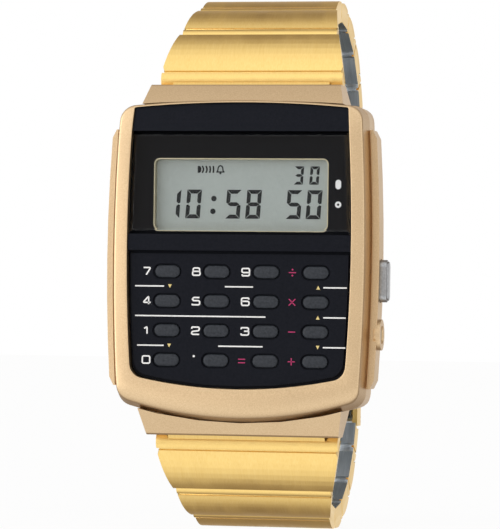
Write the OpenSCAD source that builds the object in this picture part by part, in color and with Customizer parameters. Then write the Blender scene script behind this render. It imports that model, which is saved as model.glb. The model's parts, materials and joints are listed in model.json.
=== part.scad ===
// A calculator wrist watch on a folded link bracelet with a fold-over clasp.
// The face looks along -Y, twelve o'clock is +Z and three o'clock is +X.
// The origin is the centre of the case back's outer face.

/* [Case] */
// Height of the case from its back to the front of the bezel
case_h = 8.2; // [8.1:0.1:9.4]
// Length of the case over both lug pieces
case_l = 42.1; // [41.6:0.1:45]
// Width of the bezel's front at its two ends
bezel_w = 29.2; // [28.8:0.1:31]
// How far the sides of the case bow out at the middle
side_bow = 0.6; // [0.3:0.05:0.9]
// Height of the bezel above its seat on the mid case
bezel_h = 3.1; // [2.9:0.1:3.6]
// How far the bezel's flank spreads from front to seat
bezel_draft = 0.4; // [0.3:0.05:0.7]
// How far the upper lug piece reaches beyond the bezel's corners
lug_top = 2.75; // [2.6:0.05:3]
// How far the lower lug piece reaches beyond the bezel's corners
lug_low = 4.35; // [4.1:0.05:4.5]
// Rounding of the bezel's corners
bezel_corner_r = 2; // [1:0.1:2.6]
// Bow of the bezel's top edge
top_bow = 0.6; // [0.3:0.05:0.7]
// Bow of the bezel's bottom edge
chin_bow = 2.3; // [1.5:0.1:2.4]
// Width of the groove between the chin and the lower lug piece
chin_groove = 0.35; // [0.2:0.05:0.4]
// Width of a lug piece where it leaves the case
lug_root_w = 25.4; // [24:0.1:27]
// Width of a lug piece at its end
lug_end_w = 22.8; // [22.4:0.1:23.8]
// Level of a lug piece's front at its end
lug_end_h = 5.2; // [4.4:0.1:5.6]

/* [Side rails] */
// Overall width over both rails
rail_span = 33.1; // [33:0.1:35]
// Thickness of a rail
rail_t = 0.7; // [0.5:0.05:0.75]
// Height of a rail's flank
rail_h = 3.3; // [2.6:0.1:3.6]
// How far a rail's front lies below the bezel's front
rail_drop = 2.6; // [2.2:0.1:3]
// Distance of a rail's upper end from the bezel's upper corners
rail_top_gap = 2.7; // [2.2:0.05:4.5]
// Distance of a rail's lower end from the bezel's lower corners
rail_low_gap = 1.55; // [1.3:0.05:4]
// Bevel at a rail's ends
rail_bevel = 1; // [0.4:0.1:1.4]

/* [Face] */
// Width of the bezel strip beside the face
strip_w = 1.65; // [1.3:0.05:1.8]
// Width of the chin below the face window, at its ends
chin_w = 2.8; // [2.6:0.05:3]
// Bow of the window's bottom edge
window_bow = 1.5; // [0.8:0.05:1.6]
// Metal rim above the face window
rim_w = 0.15; // [0.1:0.05:0.3]
// Rounding of the window's lower corners
window_r = 1.8; // [1:0.1:2.2]
// Rounding of the window's upper corners
window_top_r = 0.3; // [0.1:0.1:1]
// Height of the bar above the display glass
top_bar_w = 3.05; // [2.8:0.05:3.3]
// Lower edge of the display glass
glass_bottom = 3.05; // [2.95:0.05:3.2]
// Thickness of the display glass
glass_t = 0.95; // [0.8:0.05:1.1]
// Width of the glass's bevel
glass_bevel = 0.55; // [0.2:0.05:0.7]
// Lower edge of the middle bar
bar_bottom = 1.05; // [0.95:0.05:1.2]
// Upper edge of the keypad field
field_top = 0.68; // [0.55:0.01:0.8]
// How far the keypad field lies below the bezel's front
field_drop = 0.7; // [0.6:0.05:0.9]
// Width of the groove round the keypad field
field_groove = 0.35; // [0.2:0.05:0.5]

/* [Display] */
// Width of the display window
lcd_w = 21.2; // [20:0.1:21.6]
// Glass above the display window
lcd_above = 3.15; // [2.9:0.05:3.4]
// Glass below the display window
lcd_below = 0.45; // [0.4:0.05:0.6]
// Rounding of the display window's corners
lcd_r = 0.7; // [0.4:0.05:1]
// Visible width of the display frame
lcd_rim = 0.15; // [0.1:0.01:0.2]
// Thickness of the display cell
lcd_t = 1.2; // [1:0.1:1.3]

/* [Keys] */
// Column pitch of the keys
key_dx = 5.99; // [5.8:0.01:6.05]
// Height of the last key row above the window's lower corners
key_margin = 1.88; // [1.7:0.01:2.1]
// Height of the first key row below the centre of the face
key_row_1 = 1.46; // [1.4:0.01:1.6]
// How far the keys lie to the right of the face's middle
key_shift = 0.28; // [0:0.01:0.4]
// Length of a key's top
key_l = 3.1; // [2.6:0.05:3.2]
// Width of a key's top
key_w = 1.5; // [1.2:0.05:1.55]
// Width of the dished recess round a key
key_dish = 0.2; // [0.1:0.05:0.25]
// How far a key goes down
key_travel = 0.35; // [0.2:0.05:0.35]

/* [Side buttons] */
// Height of the mode button's middle below the centre
mode_y = 2.3; // [2:0.1:3]
// Length of the mode button
mode_l = 5.05; // [4:0.05:5.2]
// Width of the mode button
mode_w = 1.9; // [1.6:0.05:2]
// How far the mode button stands out of the rail
mode_out = 1; // [0.7:0.1:1.2]
// Height of the adjust button below the centre
adjust_y = 8.7; // [8.4:0.1:9.4]
// Diameter of the adjust button
adjust_d = 2.1; // [1.6:0.1:2.3]
// Diameter of the boss round the adjust button
boss_d = 3.7; // [3.4:0.1:3.8]
// How far a side button goes in
button_travel = 0.5; // [0.3:0.05:0.6]

/* [Movement] */
// Half width of the cavity for the movement
cavity_x = 12; // [11.9:0.05:12.15]
// Distance of the cavity's ends from the bezel's upper corners
end_wall = 3.9; // [3.8:0.05:4.1]
// Thickness of the case back
back_t = 0.9; // [0.8:0.05:1]
// Room that the buzzer's spring takes beyond the button cell
spring_room = 4.4; // [4.2:0.1:5]
// Thickness of the button cell
battery_h = 1.6; // [1.4:0.05:1.65]
// Thickness of the circuit board
board_t = 0.6; // [0.4:0.05:0.65]

/* [Bracelet] */
// Distance of the lug bar from the end of the case
bar_in = 1.3; // [1.2:0.01:1.35]
// Height of the lug bar above the case back
bar_z = 2.1; // [2:0.05:2.2]
// Pitch of the first link
first_pitch = 10; // [9.4:0.1:11]
// Pitch of the other links
link_pitch = 6; // [5.6:0.1:6.4]
// Lean of the first link away from the plane of the case, in degrees
first_turn = 40.5; // [38:0.5:45]
// Bend between one link and the next, in degrees
link_turn = 19.05; // [17:0.05:19.5]
// Radius of the bead at a link's end
bead_r = 1.25; // [1.15:0.05:1.3]
// Width of the first link at its bead
first_link_w = 22.3; // [22:0.1:22.8]
// Width of the last links
last_link_w = 16; // [15.4:0.1:17]
// Width of a link's tongue
tongue_w = 12; // [10:0.1:12.4]
// Radius of the link pins
pin_r = 0.4; // [0.3:0.05:0.45]
// Width of the first link's knuckle at the lug
knuckle_w = 19.2; // [18:0.1:19.6]

/* [Clasp] */
// Thickness of the clasp's sheet metal
sheet_t = 0.6; // [0.5:0.05:0.6]
// Depth of the clasp cover from its outer face to its rim
cover_h = 3.9; // [3.6:0.1:4.2]

/* [Hidden] */
links = 7;                // links in each half of the bracelet
key_rows = 4;             // rows of keys
KEYS = [
    "key_7", "key_8", "key_9", "key_divide",
    "key_4", "key_5", "key_6", "key_times",
    "key_1", "key_2", "key_3", "key_minus",
    "key_0", "key_point", "key_equals", "key_plus"];
UPPER = [for (i = [1 : links]) str("upper_link_", i)];
LOWER = [for (i = [1 : links]) str("lower_link_", i)];
$fn = 64;

// Colours
gold = "#d8bd8c";
yellow_gold = "#d9aa55";
steel = "#8f9092";
black = "#23242b";
key_grey = "#3c3f45";
glass_grey = "#5c6468";

// Clearances, small fits and overruns
over = 1;                 // overrun of every cut
skin = 0.05;              // smallest gap between pieces that lie in each other
slip = 0.1;               // gap beside pieces that move
pin_fit = 0.03;           // running clearance of a pin in its bore
press_gap = 0.01;         // clearance of a pin in the cheeks that hold it
corner_fn = 24;           // sides of a full circle in a rounded outline
bow_steps = 6;            // steps of a bowed edge
thin = 0.01;              // thickness of a slice inside a hull

// Levels above the case back's outer face
bezel_seat = case_h - bezel_h;
rail_front = case_h - rail_drop;
mid_low = back_t / 2;
glass_front = case_h - 0.25 * glass_t;
mask_t = 0.1;
deck = glass_front - glass_t - mask_t;
deck_t = 0.7;
deck_low = deck - deck_t;
field = case_h - field_drop;
bar_front = glass_front - skin;
module_low = back_t + 0.5 * deck_t + 2 * skin;
board_low = module_low + battery_h + skin;
board_top = board_low + board_t;
lcd_gap = 0.4;
lcd_front = deck_low - lcd_gap;
lcd_low = lcd_front - lcd_t;
flange_t = 0.7;
key_flange_top = deck_low - slip;
key_low = key_flange_top - flange_t;
key_top = field + skin;
mat_t = 0.65;
button_z = rail_front - rail_h / 2;

// Places on the face, from the centre of the case
bezel_top = case_l / 2 - lug_top;
bezel_bottom = case_l / 2 - lug_low;
window_bottom = bezel_bottom - chin_w;
glass_top = bezel_top - top_bar_w;
lcd_h = glass_top - glass_bottom - lcd_above - lcd_below;
lcd_y = glass_bottom + lcd_below + lcd_h / 2;
key_dy = (window_bottom - key_row_1 - key_margin) / (key_rows - 1);
rail_top = bezel_top - rail_top_gap;
rail_bottom = bezel_bottom - rail_low_gap;
rail_bow = side_bow * pow((rail_top + rail_bottom) / (bezel_top + bezel_bottom), 2);
bar_y = case_l / 2 - bar_in;
frame_wall = 0.35;
frame_x = lcd_w / 2 + frame_wall;
frame_y = lcd_h / 2 + frame_wall;
frame_r = 2 * frame_wall + slip;
cell_x = frame_x + 0.15 * lcd_t;
cell_y = lcd_h / 2 + 1.2 * lcd_t;
column_shares = [-1.5, -0.5, 0.5, 1.5];

// Case back, its screws and its gasket
cavity_y = bezel_top - end_wall;
gasket_gap = 0.5;
gasket_w = 0.7;
gasket_h = 0.35;
back_edge = 0.8;
back_x = cavity_x + gasket_gap + gasket_w + back_edge;
back_y = cavity_y + gasket_gap + gasket_w + 1.25 * back_edge;
back_r = 1.2;
cavity_r = 2.2;
screw_r = 0.5;
screw_head_r = 0.9;
screw_l = 2;
screw_x = back_x - screw_head_r - slip;
screw_y = back_y - screw_head_r - slip;

// Movement
board_side = 0.9;
board_end = 0.5;
battery_side = 0.9;
board_x = cavity_x - board_side;
board_y = cavity_y - board_end;
battery_d = 2 * min(cavity_y - spring_room, cavity_x - 2 * battery_side);
battery_y = battery_d / 2 + battery_side - cavity_y;
clip_w = 3;
clip_t = 0.2;
buzzer_r = 5.5;
buzzer_t = 0.2;
buzzer_y = cavity_y - 1.2 * buzzer_r;
contact_r = 0.45;
contact_x = 0.72 * buzzer_r;
contact_y = buzzer_y + 0.5 * buzzer_r;

// Side buttons
stem_r = 0.6;
pocket_depth = mode_out + button_travel + slip;
pocket_floor = rail_span / 2 - pocket_depth;
seal_r = 0.25;
seal_depth = 4 * seal_r;
seal_seat_r = stem_r + 2 * seal_r + skin;
boss_out = 0.2;

// Lug bars
knuckle_r = 1.1;
bar_r = 0.7;
bar_tip_r = 0.4;
lug_cheek = 0.9;
bar_reach = lug_end_w / 2 - lug_cheek;
neck_t = 1.4;

// Bracelet links; the sheet, its tongue and its eye
link_wall = 0.27;
inner_v = 0.8 * bead_r;
crown_v = 0.88 * bead_r;
crown_share = 0.055;
groove_r = 0.16;
groove_u = 0.15 * bead_r;
notch = 0.25;
eye_r = 0.85;
tongue_top = -0.15 * bead_r;
tongue_low = -0.6 * bead_r;
web_t = 1;
body_start = case_l / 2 - bar_y + 3 * slip;
end_clear_r = 2.6;
taper_share = 0.25;
link_width_shares = [1, 0.5, 0.17, 0.03, 0, 0, 0];

// Clasp places, as distances behind the face's zero plane and heights
end_pin = pin_at(links);
blade_gap = 1.3;
end_y = end_pin[0] + 0.5 * sheet_t + 2 * slip;
mid_y = end_y + blade_gap;
fold_drop = 3;
fold_z = end_pin[1] - fold_drop;
fold_y = end_y + blade_gap / 2;
fold_r = 0.75;
hinge_r = 0.6;
hinge_drop = 1.4;
hinge_side = 0.4;
hinge_z = -end_pin[1] - hinge_drop;
clasp_w = last_link_w;
cover_in_y = mid_y + hinge_r + slip;
cover_out_y = cover_in_y + sheet_t;
blade_w = clasp_w - 4 * sheet_t;
fold_side = 0.8;
fold_w = blade_w / 2 - fold_side;
slot_l = 18;
slot_w = 5;

// Small sizes of the face, the bezel and the movement
chin_fall = 1.4;
chin_in = 2.8;
top_in = 5;
top_turn = 60;
bezel_edge = 0.15;
panel_wall = 0.9;
mid_bevel = 1;
bar_slope = 0.7;
glass_edge = 0.45;
zebra_w = 0.9;
chip_t = 0.5;
chip_w = 5;
head_seat = 0.5;
plate_top = end_pin[1] - eye_r - slip;
button_head = pocket_floor + button_travel + slip;
dish_t = 0.3;

function left_of(v) = [-v[1], v[0]] / norm(v);

// Points of one bowed edge from a to b, with b itself left out
function bowed(a, b, bow) = [for (i = [0 : bow_steps - 1]) let (t = i / bow_steps)
    a + (b - a) * t + 4 * bow * t * (1 - t) * left_of(b - a)];

function pitch_of(i) = i == 0 ? first_pitch : link_pitch;
function turn_of(i) = first_turn + i * link_turn;

// Depth and height of a bracelet pin; pin 0 is the lug bar
function pin_at(i) = i == 0 ? [-bar_z, bar_y]
    : pin_at(i - 1) + pitch_of(i - 1) * [sin(turn_of(i - 1)), cos(turn_of(i - 1))];

// Turns a drawing seen from the front into the watch's frame
module face_on() {
    rotate([90, 0, 0]) children();
}

// A slab of a drawing between two levels above the case back
module layer(low, high) {
    translate([0, 0, low]) linear_extrude(high - low) children();
}

// An outline in height and level, drawn out along the width from x0 to x1
module sideways(x0, x1) {
    translate([x0, 0, 0]) rotate([90, 0, 90]) linear_extrude(x1 - x0) children();
}

// Outline with four bowed edges and rounded corners
module barrel(w, top, bottom, top_rise, bottom_rise, r) {
    corners = [[-w / 2, -bottom], [-w / 2, top], [w / 2, top], [w / 2, -bottom]];
    bows = [side_bow, top_rise, side_bow, bottom_rise];
    offset(r, $fn = corner_fn) offset(delta = -r)
        polygon([for (k = [0 : 3]) each bowed(corners[k], corners[(k + 1) % 4], bows[k])]);
}

// Outline of the case where the bezel sits, drawn in by g
module case_outline(g = 0) {
    barrel(bezel_w + 2 * bezel_draft - 2 * g, bezel_top + rim_w / 2 - g,
        bezel_bottom + chin_groove + rim_w / 2 - g, top_bow, chin_bow, bezel_corner_r);
}

// Window that the bezel leaves for the face, drawn in by g
module window(g = 0) {
    window_outline(g, window_r);
    intersection() {
        window_outline(g, window_top_r);
        translate([-bezel_w / 2, 0]) square([bezel_w, case_l]);
    }
}
module window_outline(g, r) {
    barrel(bezel_w - 2 * strip_w - 2 * g, bezel_top - rim_w - g,
        window_bottom - g, top_bow, window_bow, r);
}

// Part of the window between two heights
module window_band(low, high, g = skin) {
    intersection() {
        window(g);
        translate([-bezel_w / 2, low]) square([bezel_w, high - low]);
    }
}

// Rectangle with round corners, given by its half sizes
module plate(x, y, r) {
    square([2 * (x - r), 2 * y], center = true);
    square([2 * x, 2 * (y - r)], center = true);
    for (i = [-1, 1], j = [-1, 1]) translate([i * (x - r), j * (y - r)]) circle(r);
}

// Oblong with round ends, lying along x
module stadium(l, w) {
    square([l - w, w], center = true);
    for (i = [-1, 1]) translate([i * (l - w) / 2, 0]) circle(d = w);
}

// Places a child at every key
module at_keys() {
    for (k = [0 : len(KEYS) - 1]) translate([key_x(k), key_y(k), 0]) children();
}
function key_x(k) = key_shift + column_shares[k % 4] * key_dx;
function key_y(k) = -key_row_1 - floor(k / 4) * key_dy;

// Places a child at the four case back screws
module at_screws() {
    for (i = [-1, 1], j = [-1, 1]) translate([i * screw_x, j * screw_y, 0]) children();
}

// Front view of the mid case, with its lower edges bevelled towards the wrist
module mid_section() {
    half = bezel_w / 2 + bezel_draft + side_bow;
    rail_low = rail_front - rail_h;
    polygon([
        [-half + mid_bevel, mid_low], [-half, rail_low], [-half - over, bezel_seat],
        [half + over, bezel_seat], [half, rail_low], [half - mid_bevel, mid_low]]);
}

// Mid case before its cavity is cut
module mid_block() {
    intersection() {
        layer(mid_low, bezel_seat) case_outline();
        translate([0, case_l, 0]) rotate([90, 0, 0]) linear_extrude(2 * case_l) mid_section();
    }
}

// Side view of a lug piece at the upper end; from turn_y on its front falls from front_z
module lug_profile(front_z, turn_y) {
    root_y = cavity_y + gasket_gap + gasket_w;
    bar_gap = bar_z - mid_low;
    polygon([
        [root_y, mid_low + slip],
        [bar_y - knuckle_r, mid_low + slip],
        [case_l / 2, bar_z - bar_gap / 2],
        [case_l / 2, lug_end_h - 3 * slip],
        [case_l / 2 - 2 * slip, lug_end_h],
        [turn_y, front_z],
        [root_y, front_z]]);
}

// Lug piece at the upper end, widest at its root
module lug(front_z, turn_y) {
    root = lug_root_w / 2;
    intersection() {
        sideways(-root, root) lug_profile(front_z, turn_y);
        layer(0, case_h) polygon([
            [-root, 0], [-root, bezel_bottom], [-lug_end_w / 2, case_l / 2],
            [lug_end_w / 2, case_l / 2], [root, bezel_bottom], [root, 0]]);
    }
}

// Slot and bar holes that a lug piece needs for the bracelet's end
module lug_cuts() {
    half = knuckle_w / 2 + slip;
    translate([0, bar_y, bar_z]) {
        rotate([0, 90, 0]) cylinder(h = 2 * half, r = knuckle_r + slip, center = true);
        rotate([0, 90, 0]) cylinder(h = 2 * bar_reach, r = bar_tip_r + press_gap, center = true);
        translate([-half, 0, -bar_z - over])
            cube([2 * half, case_l - bar_y, bar_z + over + neck_t / 2 + 2 * slip]);
    }
}

// Plan of the right rail, t thick
module rail_plan(t) {
    x = rail_span / 2 - rail_bow;
    outer = bowed([x, rail_top - rail_bevel], [x, rail_bevel - rail_bottom], rail_bow);
    inner = bowed([x - t, -rail_bottom], [x - t, rail_top], -rail_bow);
    polygon(concat(
        [[x - t, rail_top], [x - rail_bevel / 2, rail_top]], outer,
        [[x, rail_bevel - rail_bottom], [x - rail_bevel / 2, -rail_bottom]], inner));
}

module rails() {
    low = rail_front - rail_h;
    for (k = [0, 1]) mirror([k, 0, 0]) {
        layer(low, rail_front) rail_plan(rail_t);
        layer(low, bezel_seat) rail_plan((rail_span - bezel_w) / 2);
    }
}

module adjust_boss() {
    translate([pocket_floor + over, -adjust_y, button_z]) rotate([0, 90, 0])
        cylinder(h = rail_span / 2 + boss_out - pocket_floor - over, d = boss_d);
}

// Pockets, stem bores and seal seats of the two side buttons
module button_cuts() {
    translate([0, -mode_y, button_z]) {
        sideways(pocket_floor, rail_span) stadium(mode_l + 2 * slip, mode_w + 2 * slip);
        button_bore();
    }
    translate([0, -adjust_y, button_z]) {
        translate([pocket_floor, 0, 0]) rotate([0, 90, 0])
            cylinder(h = rail_span, d = adjust_d + slip);
        button_bore();
    }
}
module button_bore() {
    rotate([0, 90, 0]) cylinder(h = pocket_floor + over, r = stem_r + pin_fit);
    translate([cavity_x - over, 0, 0]) rotate([0, 90, 0])
        cylinder(h = over + seal_depth, r = seal_seat_r);
}

module case_body() {
    face_on() color(gold) difference() {
        union() {
            difference() {
                union() {
                    lug(bar_front - bar_slope, bezel_top + rim_w);
                    mirror([0, 1, 0])
                        lug(case_h - chin_fall, bezel_bottom + chin_groove + rim_w);
                }
                layer(bezel_seat, case_h + over) case_outline(-skin);
            }
            mid_block();
            rails();
            adjust_boss();
        }
        layer(0, case_h) plate(cavity_x, cavity_y, cavity_r);
        layer(-over, back_t) plate(back_x + skin, back_y + skin, back_r);
        layer(0, back_t + gasket_h) gasket_ring(0);
        at_screws() cylinder(h = back_t + screw_l + slip, r = screw_r + press_gap);
        lug_cuts();
        mirror([0, 1, 0]) lug_cuts();
        button_cuts();
    }
}

// Bezel before the window is cut; it falls away at its upper and lower ends
module bezel_block() {
    hull() {
        layer(bezel_seat, bezel_seat + thin) case_outline();
        for (a = [0 : 30 : 90]) {
            fall = chin_fall * (1 - cos(a));
            flank = bezel_draft * fall / bezel_h;
            round_off = bezel_edge * (1 - sin(a));
            back_off = top_in * max(0, 1 - sin(a) / sin(top_turn));
            layer(case_h - fall - thin, case_h - fall) barrel(
                bezel_w + 2 * flank - 2 * round_off, bezel_top + rim_w / 2 - round_off - back_off,
                bezel_bottom - chin_in * (1 - sin(a)), top_bow, chin_bow, bezel_corner_r);
        }
    }
}

module bezel() {
    face_on() color(gold) difference() {
        bezel_block();
        layer(bezel_seat - over, case_h + over) window();
    }
}

// Key openings of the face panel, with a dish round each
module key_openings() {
    at_keys() {
        layer(bezel_seat, case_h) stadium(key_l + 2 * skin, key_w + 2 * skin);
        layer(field - dish_t, case_h) stadium(key_l + 2 * key_dish, key_w + 2 * key_dish);
    }
}

// Side view of the bar above the glass, which slopes up towards the glass
module top_bar_profile() {
    polygon([
        [glass_top + skin, deck_low], [glass_top + skin, bar_front],
        [bezel_top + top_bow, bar_front - bar_slope], [bezel_top + top_bow, deck_low]]);
}

module face_panel() {
    face_on() color(black) difference() {
        union() {
            layer(deck_low, deck) window(skin);
            layer(bezel_seat, deck_low) difference() {
                window(skin);
                window(panel_wall);
            }
            layer(deck_low, field) window_band(-bezel_bottom, field_top, field_groove);
            layer(deck_low, bar_front) window_band(bar_bottom, glass_bottom - skin);
            intersection() {
                sideways(-bezel_w / 2, bezel_w / 2) top_bar_profile();
                layer(deck_low, case_h) window(skin);
            }
        }
        layer(bezel_seat, case_h) translate([0, lcd_y])
            plate(frame_x + skin, frame_y + skin, lcd_r + frame_wall + skin);
        key_openings();
    }
}

module display_glass() {
    face_on() color(glass_grey) hull() {
        layer(deck + mask_t, glass_front - glass_edge) window_band(glass_bottom, glass_top);
        layer(glass_front - thin, glass_front)
            window_band(glass_bottom + glass_bevel, glass_top - glass_bevel, skin + glass_bevel);
    }
}

module display_mask() {
    face_on() color(black) layer(deck, deck + mask_t) difference() {
        window_band(glass_bottom, glass_top);
        translate([0, lcd_y]) plate(lcd_w / 2, lcd_h / 2, lcd_r);
    }
}

module lcd_frame() {
    face_on() color(gold) translate([0, lcd_y, 0]) difference() {
        union() {
            layer(lcd_front, deck - skin) plate(frame_x, frame_y, lcd_r + frame_wall);
            layer(board_top, deck_low - skin)
                plate(cell_x + frame_wall, cell_y + frame_wall, frame_r);
        }
        layer(0, case_h) plate(lcd_w / 2 - lcd_rim, lcd_h / 2 - lcd_rim, lcd_r - lcd_rim);
        layer(0, lcd_front) square(2 * [cell_x + skin, cell_y + skin], center = true);
    }
}

// Rear glass, front glass and polariser of the display cell
module lcd_cell() {
    ledge = lcd_t / 2;
    face_on() color("#a5aba3") translate([0, lcd_y, 0]) {
        layer(lcd_low, lcd_low + 0.4 * lcd_t) square(2 * [cell_x, cell_y], center = true);
        layer(lcd_low, lcd_low + 0.8 * lcd_t) square(2 * [cell_x, cell_y - ledge], center = true);
        layer(lcd_low, lcd_front) square(2 * [cell_x - ledge, cell_y - ledge], center = true);
    }
}

module zebra_strips() {
    face_on() color(black) for (j = [-1, 1])
        translate([0, lcd_y + j * (cell_y - zebra_w), 0]) layer(board_top, lcd_low)
            square([2 * (cell_x - zebra_w), zebra_w], center = true);
}

module keypad_mat() {
    mat_top = board_top + mat_t;
    low_y = slip - board_y;
    high_y = lcd_y - cell_y - frame_wall - 2 * slip;
    face_on() color("#55585c") {
        layer(board_top, mat_top) translate([0, (low_y + high_y) / 2])
            square([2 * board_x, high_y - low_y], center = true);
        at_keys() translate([0, 0, mat_top])
            cylinder(h = key_low - key_travel - skin - mat_top, r1 = 0.8 * key_w, r2 = 0.45 * key_w);
    }
}

module circuit_board() {
    face_on() color("#2f6b45") {
        layer(board_low, board_top) difference() {
            plate(board_x, board_y, cavity_r / 2);
            for (i = [-1, 1]) translate([i * (board_x - cavity_r / 2), battery_y]) circle(board_t);
        }
        layer(board_low, board_top + chip_t) translate([0, lcd_y]) square(chip_w, center = true);
    }
}

module module_frame() {
    face_on() color("#3a3a3c") difference() {
        union() {
            layer(module_low, board_low) plate(cavity_x - slip, cavity_y - slip, cavity_r);
            layer(module_low, board_top) difference() {
                plate(cavity_x - slip, cavity_y - slip, cavity_r);
                plate(board_x + slip, board_y + slip, cavity_r / 2);
            }
        }
        translate([0, battery_y, 0]) cylinder(h = case_h, d = battery_d + 2 * slip);
        translate([contact_x, contact_y, 0]) cylinder(h = case_h, r = contact_r + slip);
        for (y = [mode_y, adjust_y])
            translate([board_x, -y - stem_r - 2 * slip, button_z - stem_r - 2 * slip])
                cube([cavity_x, 2 * stem_r + 4 * slip, case_h]);
    }
}

module battery() {
    face_on() color("silver") translate([0, battery_y, module_low]) {
        cylinder(h = battery_h, d = 0.88 * battery_d);
        cylinder(h = 0.8 * battery_h, d = battery_d);
    }
}

module battery_clip() {
    face_on() color("silver") layer(module_low - clip_t, module_low) translate([0, battery_y])
        difference() {
            square([2 * board_x, clip_w], center = true);
            stadium(battery_d / 2, clip_w / 2);
        }
}

module buzzer() {
    face_on() color("#c8a24a") translate([0, buzzer_y, back_t]) {
        cylinder(h = buzzer_t / 2, r = buzzer_r);
        cylinder(h = buzzer_t, r = 0.72 * buzzer_r);
    }
}

module buzzer_spring() {
    low = back_t + buzzer_t / 2;
    face_on() color("silver") translate([contact_x, contact_y, 0]) rotate_extrude() polygon([
        [0, low], [contact_r, low],
        [contact_r, low + contact_r], [contact_r / 2, low + 1.5 * contact_r],
        [contact_r / 2, board_low - contact_r], [contact_r, board_low - contact_r / 2],
        [contact_r, board_low], [0, board_low]]);
}

// Plan of the seal round the cavity, drawn in by g
module gasket_ring(g) {
    low = gasket_gap + g;
    high = gasket_gap + gasket_w - g;
    difference() {
        plate(cavity_x + high, cavity_y + high, cavity_r + high);
        plate(cavity_x + low, cavity_y + low, cavity_r + low);
    }
}

module back_gasket() {
    face_on() color(black) layer(back_t, back_t + gasket_h - skin) gasket_ring(skin);
}

module case_back() {
    face_on() color(steel) difference() {
        layer(0, back_t) plate(back_x, back_y, back_r);
        at_screws() {
            cylinder(h = back_t + over, r = screw_r + skin);
            translate([0, 0, -over]) cylinder(h = over + head_seat, r = screw_head_r + skin);
        }
    }
}

module back_screws() {
    slit = screw_r / 2;
    face_on() color(steel) at_screws() difference() {
        union() {
            translate([0, 0, skin]) cylinder(h = head_seat - skin, r = screw_head_r);
            translate([0, 0, skin]) cylinder(h = back_t + screw_l - skin, r = screw_r);
        }
        translate([-screw_head_r, -slit / 2, -over]) cube([2 * screw_head_r, slit, over + slit]);
    }
}

module button_gaskets() {
    face_on() color(black) for (y = [mode_y, adjust_y])
        translate([cavity_x + seal_depth / 2, -y, button_z]) rotate([0, 90, 0])
            rotate_extrude() translate([stem_r + skin + seal_r, 0]) circle(seal_r);
}

// Stem of a side button, from the movement into the button's head
module stem() {
    rotate([0, 90, 0]) translate([0, 0, cavity_x])
        cylinder(h = button_head - cavity_x + slip, r = stem_r);
}

module mode_button() {
    tip = rail_span / 2 + mode_out;
    face_on() color(steel) translate([0, -mode_y, button_z]) {
        stem();
        sideways(button_head, tip - 2 * slip) stadium(mode_l, mode_w);
        sideways(button_head, tip) stadium(mode_l - 4 * slip, mode_w - 4 * slip);
    }
}

module adjust_button() {
    face_on() color(steel) translate([0, -adjust_y, button_z]) {
        stem();
        translate([button_head, 0, 0]) rotate([0, 90, 0])
            cylinder(h = rail_span / 2 - button_head, d = adjust_d);
    }
}

// A key: a flange under the panel and a crowned cap that fills its opening
module key_cap(k) {
    crown_r = 1.2 * key_w;
    face_on() color(key_grey) translate([key_x(k), key_y(k), 0]) {
        layer(key_low, key_flange_top) stadium(key_l + 8 * slip, key_w + 5 * slip);
        intersection() {
            layer(key_low, key_top) stadium(key_l, key_w);
            translate([0, 0, key_top - crown_r]) rotate([0, 90, 0])
                cylinder(h = 2 * key_l, r = crown_r, center = true);
        }
    }
}

// Bar with spring tips that holds the bracelet's end at the upper lug
module spring_bar() {
    color(steel) translate([0, -bar_z, bar_y]) rotate([0, 90, 0]) {
        cylinder(h = knuckle_w - 4 * slip, r = bar_r, center = true);
        cylinder(h = 2 * bar_reach - 2 * slip, r = bar_tip_r, center = true);
    }
}

// An outline in length and height, drawn out to a width across the bracelet
module across(w) {
    rotate([0, -90, 180]) translate([0, 0, -w / 2]) linear_extrude(w) children();
}

// Section of a link's body of the given length, with its bead at the start
module link_section(len, end_r) {
    rise = crown_share * len;
    crown = len * len / (8 * rise) + rise / 2;
    difference() {
        union() {
            circle(bead_r);
            intersection() {
                translate([0, -inner_v]) square([len, inner_v + 2 * bead_r]);
                translate([len / 2, crown_v + rise - crown]) circle(crown);
            }
        }
        translate([len, 0]) circle(end_r);
        translate([groove_u, crown_v + groove_r / 2]) circle(groove_r);
    }
}

// Plan of a link's body, narrowing from w0 to w1, with a small notch behind the bead
module link_plan(len, w0, w1) {
    u1 = groove_u - groove_r;
    u2 = groove_u + groove_r;
    half = [[w0 / 2, -bead_r - over], [w0 / 2, u1], [w0 / 2 - notch, u1], [w0 / 2 - notch, u2],
        [w0 / 2 - taper_share * (w0 - w1) / 2, u2], [w1 / 2, len]];
    translate([0, 2 * bead_r, 0]) rotate([90, 0, 0]) linear_extrude(4 * bead_r) polygon(concat(
        half, [for (k = [len(half) - 1 : -1 : 0]) [-half[k][0], half[k][1]]]));
}

// Body of a link with the channel that takes the last link's tongue; mouth is
// where the channel starts, before zero where it is open to the last link
module link_body(len, w0, w1, end_r, mouth) {
    channel_end = len - max(end_r, bead_r + slip) - web_t;
    difference() {
        intersection() {
            across(2 * w0) link_section(len, end_r);
            link_plan(len, w0, w1);
        }
        across(tongue_w + 2 * slip) {
            translate([mouth, -2 * bead_r])
                square([channel_end - mouth, 2 * bead_r + (mouth < 0 ? skin : -tongue_top)]);
            translate([max(mouth, 0), -2 * bead_r])
                square([channel_end - max(mouth, 0), 2 * bead_r + inner_v / 2]);
            if (mouth < 0) circle(bead_r - link_wall);
        }
    }
}

// Tongue from a link's web to its eye round the next pin
module link_tongue(len, end_r) {
    across(tongue_w) {
        translate([len, 0]) circle(eye_r);
        translate([len - end_r - web_t / 2, tongue_low])
            square([end_r + web_t / 2, tongue_top - tongue_low]);
    }
}

// Width of a link at its bead, and at its far end
function link_w(i) = last_link_w + link_width_shares[i] * (first_link_w - last_link_w);
function far_width(i) = (link_w(i) + 2 * link_w(min(i + 1, links - 1))) / 3;

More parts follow.
